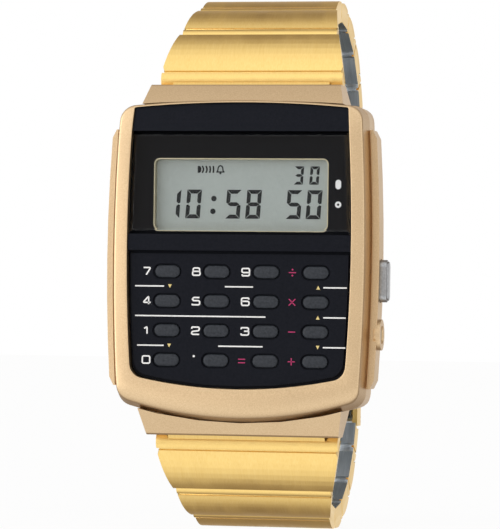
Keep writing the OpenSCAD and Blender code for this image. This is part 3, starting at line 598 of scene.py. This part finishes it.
def oblong(length, width, steps=12):
    """Outline with round ends, in millimetres"""
    points = []
    for end in (1, -1):
        for i in range(steps + 1):
            turn = -math.pi / 2 + math.pi * i / steps
            points.append((end * ((length - width) / 2 + width / 2 * math.cos(turn)),
                           end * width / 2 * math.sin(turn)))
    return points


def make_key(node):
    """A key from its foot up: the flange, the cap's side, its pillow edge and its crown"""
    low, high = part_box(node)
    middle = (low + high) / 2
    x, z = middle.x / MM, middle.z / MM
    top, bottom = -low.y / MM, -high.y / MM
    flange_l, flange_w = (high.x - low.x) / MM, (high.z - low.z) / MM
    length, width = flange_l - FLANGE_OVER_L, flange_w - FLANGE_OVER_W
    flange_top = bottom + FLANGE_T
    steps = [(oblong(*FOOT_SEED), bottom), (oblong(flange_l, flange_w), bottom),
             (oblong(flange_l, flange_w), flange_top), (oblong(length, width), flange_top)]
    for i in range(PILLOW_STEPS + 1):
        turn = i / PILLOW_STEPS * math.pi / 2
        inset = PILLOW_IN * (1 - math.sin(math.pi / 2 - turn))
        level = top - CROWN_RISE - PILLOW_FALL * (1 - math.sin(turn))
        steps.append((oblong(length - 2 * inset, width - 2 * inset), level))
    steps.append((oblong(*CROWN), top))
    rings = [[(x + px, z + pz, level) for px, pz in outline] for outline, level in steps]
    mesh = lofted(node + "_finish", rings, closed=False)
    cap = bmesh.new()
    cap.from_mesh(mesh)
    bmesh.ops.holes_fill(cap, edges=cap.edges)
    bmesh.ops.recalc_face_normals(cap, faces=cap.faces)
    cap.to_mesh(mesh)
    cap.free()
    smooth(mesh, KEY_SMOOTH)
    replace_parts(new_piece(node + "_finish", mesh, node, key_grey), node)


for name in KEY_NAMES:
    make_key(name)

# Printed figures and signs, in millimetres; their paths are shares of a figure's width and height
PRINT_T = 0.02
PRINT_SUNK = 0.9         # share of a print's thickness that has sides
GLYPH_W = 1.08
GLYPH_H = 1.04
GLYPH_STROKE = 0.175
GLYPH_R = 0.2
SIGN_SIZE = 0.98
SIGN_STROKE = 0.12
DIVIDE_DOT_AT = 0.36     # shares of the sign's height
DIVIDE_DOT_R = 0.11
LABEL_SHIFT = 2.45
OPERATOR_SHIFT = 2.80
POINT_SHIFT = 2.62
POINT_RISE = 0.49
POINT_R = 0.14
GLYPHS = {
    "0": [[(-.5, 0), (-.5, .5), (.5, .5), (.5, -.5), (-.5, -.5), (-.5, 0)]],
    "1": [[(-.30, .22), (.08, .5), (.08, -.5)]],
    "2": [[(-.5, .26), (-.5, .5), (.5, .5), (.5, .02), (-.5, -.12), (-.5, -.5), (.5, -.5)]],
    "3": [[(-.5, .28), (-.5, .5), (.48, .5), (.48, .02), (-.12, .02)],
          [(.44, .02), (.5, -.02), (.5, -.5), (-.5, -.5), (-.5, -.28)]],
    "4": [[(.5, -.24), (-.5, -.24), (.14, .5), (.24, .5), (.24, -.5)]],
    "5": [[(.46, .5), (-.40, .5), (-.46, .07), (.5, .07), (.5, -.5), (-.5, -.5), (-.5, -.36)]],
    "6": [[(.46, .30), (.46, .5), (-.5, .5), (-.5, -.5), (.5, -.5), (.5, .06), (-.46, .06)]],
    "7": [[(-.5, .5), (.46, .5), (-.14, -.5)]],
    "8": [[(-.43, .04), (-.43, .5), (.43, .5), (.43, .04)],
          [(0, .04), (-.5, .04), (-.5, -.5), (.5, -.5), (.5, .04), (0, .04)]],
    "9": [[(-.46, -.30), (-.46, -.5), (.5, -.5), (.5, .5), (-.5, .5), (-.5, -.06), (.46, -.06)]],
    "minus": [[(-.5, 0), (.5, 0)]],
    "plus": [[(-.5, 0), (.5, 0)], [(0, .5), (0, -.5)]],
    "times": [[(-.46, .46), (.46, -.46)], [(-.46, -.46), (.46, .46)]],
    "equals": [[(-.5, .24), (.5, .24)], [(-.5, -.24), (.5, -.24)]],
    "divide": [[(-.5, 0), (.5, 0)]]}


def rounded_path(points, radius, steps=5):
    """A path with its inner corners rounded, and whether it closes"""
    closed = points[0] == points[-1]
    points = [Vector(p) for p in points]
    made = [points[0]]
    for a, b, c in zip(points, points[1:], points[2:]):
        reach = min(radius, (b - a).length / 2, (c - b).length / 2)
        p, q = b + (a - b).normalized() * reach, b + (c - b).normalized() * reach
        for i in range(steps + 1):
            t = i / steps
            made.append(p * (1 - t) ** 2 + b * 2 * t * (1 - t) + q * t * t)
    made.append(points[-1])
    return made, closed


def round_about(x, y, radius, steps):
    """Points of a circle, once round"""
    return [Vector((x + radius * math.cos(i / steps * math.tau), y + radius * math.sin(i / steps * math.tau)))
            for i in range(steps)]


class Print:
    """Flat printed shapes at one level that become one piece"""

    def __init__(self, name, level, surface, slot):
        self.name, self.level, self.surface, self.slot = name, level, surface, slot
        self.mesh = bmesh.new()

    def face(self, points):
        """A filled outline"""
        verts = [self.mesh.verts.new((x * MM, -(self.level + PRINT_T) * MM, y * MM)) for x, y in points]
        self.mesh.faces.new(verts)

    def stroke(self, points, width, closed=False):
        """A line of even width along a path, as one strip"""
        sides = []
        for i, point in enumerate(points):
            before = points[i - 1] if i else (points[-2] if closed else None)
            after = points[i + 1] if i + 1 < len(points) else (points[1] if closed else None)
            steps = [(b - a).normalized() for a, b in ((before, point), (point, after)) if a and b]
            way = sum(steps, Vector((0, 0))).normalized()
            normal = Vector((-way.y, way.x))
            reach = width / 2 / max(0.5, abs(normal.dot(Vector((-steps[0].y, steps[0].x)))))
            sides.append((point + normal * reach, point - normal * reach))
        verts = [[self.mesh.verts.new((p.x * MM, -(self.level + PRINT_T) * MM, p.y * MM)) for p in pair]
                 for pair in sides]
        for one, other in zip(verts, verts[1:]):
            self.mesh.faces.new((one[0], one[1], other[1], other[0]))

    def line(self, start, end, width):
        """A straight line"""
        self.stroke([Vector(start), Vector(end)], width)

    def disc(self, x, y, radius, steps=20):
        """A round dot"""
        self.face(round_about(x, y, radius, steps))

    def finish(self):
        """Gives the shapes their thickness and makes the piece"""
        bmesh.ops.remove_doubles(self.mesh, verts=self.mesh.verts, dist=WELD * MM)
        bmesh.ops.recalc_face_normals(self.mesh, faces=self.mesh.faces)
        for face in list(self.mesh.faces):
            if face.normal.y > 0:
                face.normal_flip()
        made = bmesh.ops.extrude_face_region(self.mesh, geom=list(self.mesh.faces), use_keep_orig=True)
        for part in made["geom"]:
            if isinstance(part, bmesh.types.BMVert):
                part.co.y += PRINT_SUNK * PRINT_T * MM
        bmesh.ops.recalc_face_normals(self.mesh, faces=self.mesh.faces)
        mesh = bpy.data.meshes.new(self.name)
        self.mesh.to_mesh(mesh)
        self.mesh.free()
        new_piece(self.name, mesh, "case", self.surface)


def glyph(sheet, sign, x, y, width, height, stroke, radius):
    """One figure or sign, centred at x and y"""
    for path in GLYPHS[sign]:
        points = [(px * (width - stroke), py * (height - stroke)) for px, py in path]
        line, closed = rounded_path(points, radius)
        sheet.stroke([Vector((x + p.x, y + p.y)) for p in line], stroke, closed)
    if sign == "divide":
        for side in (-1, 1):
            sheet.disc(x, y + side * DIVIDE_DOT_AT * height, DIVIDE_DOT_R * height)


figures = Print("key_figures", FIELD, ink_white, "panel_black")
signs = Print("key_signs", FIELD, ink_red, "panel_black")
for name in KEY_NAMES:
    low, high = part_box(name)
    x, z = (low.x + high.x) / 2 / MM, (low.z + high.z) / 2 / MM
    sign = name.split("_")[1]
    if sign == "point":
        figures.disc(x - POINT_SHIFT, z + POINT_RISE, POINT_R)
    elif sign in "0123456789":
        glyph(figures, sign, x - LABEL_SHIFT, z, GLYPH_W, GLYPH_H, GLYPH_STROKE, GLYPH_R)
    else:
        glyph(signs, sign, x - OPERATOR_SHIFT, z, SIGN_SIZE, SIGN_SIZE, SIGN_STROKE, 0)
figures.finish()
signs.finish()

# Divider lines by their height, from one x to another, with short generic marks in their gaps
LINE_W = 0.16
MARK_R = 0.22
ROW_LINES = {
    -3.22: [(-12.62, -9.07), (-1.67, 1.73), (10.20, 13.02)],
    -6.77: [(-12.57, 3.28), (10.24, 12.93)],
    -10.30: [(-12.27, -9.03), (-2.38, 2.99), (10.24, 12.92)]}
MARKS = {
    -3.22: [(-8.36, "down"), (9.59, "up")],
    -6.77: [(9.59, "up")],
    -10.30: [(-8.36, "down"), (9.61, "down")]}
lines = Print("divider_lines", FIELD, ink_white, "panel_black")
marks = Print("divider_marks", FIELD, ink_gold, "panel_black")
for height, spans in ROW_LINES.items():
    for low, high in spans:
        lines.line((low, height), (high, height), LINE_W)
    for x, way in MARKS[height]:
        tip = MARK_R if way == "up" else -MARK_R
        marks.face([(x - MARK_R, height - tip), (x + MARK_R, height - tip), (x, height + tip)])
lines.finish()
marks.finish()

# Display, in millimetres: slanted figures of seven segments, with small ones above them
SLANT = 0.07
SEGMENTS = {"0": "abcdef", "1": "bc", "3": "abgcd", "5": "afgcd", "8": "abcdefg"}
SEGMENT_GAP = 0.035
TIP_SHARE = 0.3          # shares of a segment's thickness, for its pointed ends
END_SHARE = 0.25
END_RISE = 0.02
LEAST = 0.01
DIGITS = (("1", -8.45), ("0", -5.93), ("5", -1.07), ("8", 1.38), ("5", 6.28), ("0", 8.70))
DIGIT_Y = 6.66
DIGIT_SIZE = (1.80, 3.46, 0.50)          # width, height and thickness
SMALL_DIGITS = (("3", 6.82), ("0", 8.72))
SMALL_Y = 10.13
SMALL_SIZE = (1.15, 2.2, 0.38)
COLON_X = -3.50
COLON_DOTS = (7.32, 5.80)
COLON_R = 0.33


def segments(sheet, sign, x, y, width, height, thick):
    """A figure of seven segments with its middle at x and y"""
    w, h, t = width / 2, height / 2, thick
    tip, end = t * TIP_SHARE, t * END_SHARE
    bars = {
        "a": [(-w, h), (w, h), (w - t, h - t), (-w + t, h - t)],
        "d": [(-w, -h), (-w + t, -h + t), (w - t, -h + t), (w, -h)],
        "g": [(-w + tip, 0), (-w + t, t / 2), (w - t, t / 2),
              (w - tip, 0), (w - t, -t / 2), (-w + t, -t / 2)],
        "b": [(w, h), (w, end), (w - t / 2, END_RISE), (w - t, t / 2), (w - t, h - t)],
        "c": [(w, -h), (w - t, -h + t), (w - t, -t / 2), (w - t / 2, -END_RISE), (w, -end)]}
    bars["f"] = [(-px, py) for px, py in reversed(bars["b"])]
    bars["e"] = [(-px, py) for px, py in reversed(bars["c"])]
    for key in SEGMENTS[sign]:
        points = bars[key]
        cx = sum(p[0] for p in points) / len(points)
        cy = sum(p[1] for p in points) / len(points)
        made = []
        for px, py in points:
            away = Vector((px - cx, py - cy))
            away *= max(0, 1 - SEGMENT_GAP / max(away.length, LEAST))
            px, py = cx + away.x, cy + away.y
            made.append((x + px + SLANT * py, y + py))
        sheet.face(made)


display = Print("display_figures", LCD_FACE, lcd_ink, "display_cell")
for sign, x in DIGITS:
    segments(display, sign, x, DIGIT_Y, *DIGIT_SIZE)
for y in COLON_DOTS:
    display.disc(COLON_X + SLANT * (y - DIGIT_Y), y, COLON_R)
for sign, x in SMALL_DIGITS:
    segments(display, sign, x, SMALL_Y, *SMALL_SIZE)

# Sound waves and a bell, as plain signs of the cell
SIGN_TOP, SIGN_LOW = 11.21, 10.40
SIGN_MID = (SIGN_TOP + SIGN_LOW) / 2
HORN_LEFT, HORN_MIDDLE, HORN_RIGHT = -5.49, -5.20, -5.04
HORN_THROAT = 0.18
WAVES = ((-4.86, 0.16), (-4.42, 0.13), (-3.99, 0.08), (-3.57, 0.04))    # place and bulge
WAVE_STEPS = 6
WAVE_W = 0.19
BELL_X = -2.71
BELL_SIDE = [(-0.44, 10.50), (-0.32, 10.66), (-0.28, 11.0), (-0.17, 11.19), (0, 11.25)]
BELL_RIM = 0.50
BELL_W = 0.15
CLAPPER_Y = 10.34
CLAPPER_R = 0.12
display.face([(HORN_LEFT, SIGN_LOW), (HORN_MIDDLE, SIGN_LOW), (HORN_RIGHT, SIGN_MID - HORN_THROAT),
              (HORN_RIGHT, SIGN_MID + HORN_THROAT), (HORN_MIDDLE, SIGN_TOP), (HORN_LEFT, SIGN_TOP)])
for x, bulge in WAVES:
    display.stroke([Vector((x + bulge * (1 - (2 * i / WAVE_STEPS - 1) ** 2) - bulge / 2,
                            SIGN_LOW + (SIGN_TOP - SIGN_LOW) * i / WAVE_STEPS))
                    for i in range(WAVE_STEPS + 1)], WAVE_W)
bell = BELL_SIDE + [(-x, y) for x, y in reversed(BELL_SIDE[:-1])]
display.stroke([Vector((BELL_X + x, y)) for x, y in bell], BELL_W)
rim_y = BELL_SIDE[0][1]
display.line((BELL_X - BELL_RIM, rim_y), (BELL_X + BELL_RIM, rim_y), BELL_W)
display.disc(BELL_X, CLAPPER_Y, CLAPPER_R)
display.finish()

# Two plain signs beside the display, printed on the mask: an upright bar and a ring
BAR_AT = (11.79, 9.02)
BAR_SIZE = (1.14, 0.68)
RING_AT = (11.80, 6.63)
RING_R = 0.26
RING_STEPS = 24
RING_W = 0.24
beside = Print("mask_signs", MASK_FACE - PRINT_T / 2, ink_white, "mask_black")
beside.face([(BAR_AT[0] + y, BAR_AT[1] + x) for x, y in oblong(*BAR_SIZE)])
ring = round_about(*RING_AT, RING_R, RING_STEPS)
beside.stroke(ring + ring[:1], RING_W, True)
beside.finish()

# Studio: a lamp, a paper floor, and a room whose brightness changes from behind the watch, at 0, to
# the camera's side, at 1
LAMP_PLACE = (-0.70, -0.56, 0.06)
LAMP_SIZE = 1.0
LAMP_POWER = 4.6
FLOOR_COLOUR = (0.86, 0.86, 0.86, 1)
FLOOR_ROUGH = 0.8
FLOOR_REACH = 3
FLOOR_DROP = 0.1
FLOOR_WHITE = 0.95       # the rest of the floor's look is lit paper, which keeps a faint shadow
ROOM_AXIS = (-0.19, -0.98, 0.0)
ROOM_WARMTH = (1.0, 0.72, 0.52)
ROOM_LIGHT = 1.15
ROOM = ((0.0, 0.87), (0.02, 0.80), (0.10, 0.36), (0.24, 0.20), (0.40, 0.36), (0.54, 0.76), (0.72, 1.0),
        (0.90, 0.98), (1.0, 0.54))


def make_camera():
    """The photograph's camera"""
    azimuth, elevation, roll = (math.radians(a) for a in (AZIMUTH, ELEVATION, ROLL))
    away = Vector((math.sin(azimuth) * math.cos(elevation), -math.cos(azimuth) * math.cos(elevation),
                   math.sin(elevation)))
    right = Vector((math.cos(azimuth), math.sin(azimuth), 0))
    up = away.cross(right)
    tilted_right = right * math.cos(roll) + up * math.sin(roll)
    tilted_up = up * math.cos(roll) - right * math.sin(roll)
    turn = Matrix((tilted_right, tilted_up, away)).transposed().to_4x4()
    data = bpy.data.cameras.new("camera")
    data.sensor_width = SENSOR
    data.lens = PIXELS_PER_MM / MM * DISTANCE * SENSOR / FRAME_PIXELS
    data.clip_start = CLIP_NEAR
    data.clip_end = CLIP_FAR
    made = bpy.data.objects.new("camera", data)
    made.matrix_world = Matrix.Translation(AIM + away * DISTANCE) @ turn
    bpy.context.scene.collection.objects.link(made)
    bpy.context.scene.camera = made


def make_lamp():
    """A soft square lamp at the left of the camera, that faces the watch"""
    data = bpy.data.lights.new("key_lamp", "AREA")
    data.size = LAMP_SIZE
    data.energy = LAMP_POWER
    made = bpy.data.objects.new("key_lamp", data)
    made.location = LAMP_PLACE
    made.rotation_euler = (-Vector(LAMP_PLACE)).to_track_quat("-Z", "Y").to_euler()
    bpy.context.scene.collection.objects.link(made)


def white_to_sight(tree, shader, share):
    """Mixes white into what the camera sees of a surface, also through glass"""
    path = add(tree, "ShaderNodeLightPath")
    seen = add(tree, "ShaderNodeMath", {"operation": "MAXIMUM"})
    tree.links.new(path.outputs["Is Camera Ray"], seen.inputs[0])
    tree.links.new(path.outputs["Is Transmission Ray"], seen.inputs[1])
    scaled = add(tree, "ShaderNodeMath", {"operation": "MULTIPLY"})
    tree.links.new(seen.outputs[0], scaled.inputs[0])
    scaled.inputs[1].default_value = share
    mix = add(tree, "ShaderNodeMixShader")
    white = add(tree, "ShaderNodeEmission")
    tree.links.new(scaled.outputs[0], mix.inputs[0])
    tree.links.new(shader, mix.inputs[1])
    tree.links.new(white.outputs[0], mix.inputs[2])
    return mix.outputs[0]


def make_floor():
    """Pale paper, nearly white to sight, that lets the room's light reach the metal from below"""
    made, tree, shader = material("floor_paper", Base_Color=FLOOR_COLOUR, Roughness=FLOOR_ROUGH)
    path = add(tree, "ShaderNodeLightPath")
    open_below = add(tree, "ShaderNodeMixShader")
    tree.links.new(path.outputs["Is Glossy Ray"], open_below.inputs[0])
    tree.links.new(white_to_sight(tree, shader.outputs[0], FLOOR_WHITE), open_below.inputs[1])
    tree.links.new(add(tree, "ShaderNodeBsdfTransparent").outputs[0], open_below.inputs[2])
    tree.links.new(open_below.outputs[0], tree.nodes["Material Output"].inputs["Surface"])
    mesh = bpy.data.meshes.new("floor")
    level = cad_low.z - FLOOR_DROP * MM
    corners = ((-1, -1), (1, -1), (1, 1), (-1, 1))
    verts = [(x * FLOOR_REACH, y * FLOOR_REACH, level) for x, y in corners]
    mesh.from_pydata(verts, [], [(0, 1, 2, 3)])
    floor = bpy.data.objects.new("floor", mesh)
    floor.data.materials.append(made)
    bpy.context.scene.collection.objects.link(floor)


def make_world():
    """White to sight, and a soft room to what mirrors and lights the watch: bright behind it and
    on the camera's side, and dark round the back of its flanks, with warm shades"""
    world = bpy.data.worlds.new("studio")
    bpy.context.scene.world = world
    world.use_nodes = True
    tree = world.node_tree
    room = tree.nodes["Background"]
    coords = add(tree, "ShaderNodeTexCoord")
    facing = add(tree, "ShaderNodeVectorMath", {"operation": "DOT_PRODUCT"})
    facing.inputs[1].default_value = ROOM_AXIS
    ramp = add(tree, "ShaderNodeValToRGB")
    stops = ramp.color_ramp.elements
    for i, (position, value) in enumerate(ROOM):
        stop = stops[i] if i < len(stops) else stops.new(position)
        stop.position = position
        stop.color = (*(value * (1 - (1 - warmth) * (1 - value) ** 2) for warmth in ROOM_WARMTH), 1)
    tree.links.new(coords.outputs["Generated"], facing.inputs[0])
    tree.links.new(spread(tree, facing.outputs["Value"], 0, 1, -1, 1), ramp.inputs["Fac"])
    tree.links.new(ramp.outputs["Color"], room.inputs["Color"])
    room.inputs["Strength"].default_value = ROOM_LIGHT
    tree.links.new(white_to_sight(tree, room.outputs[0], 1), tree.nodes["World Output"].inputs["Surface"])


make_camera()
make_floor()
make_world()
make_lamp()
bpy.context.scene.view_settings.view_transform = "Standard"
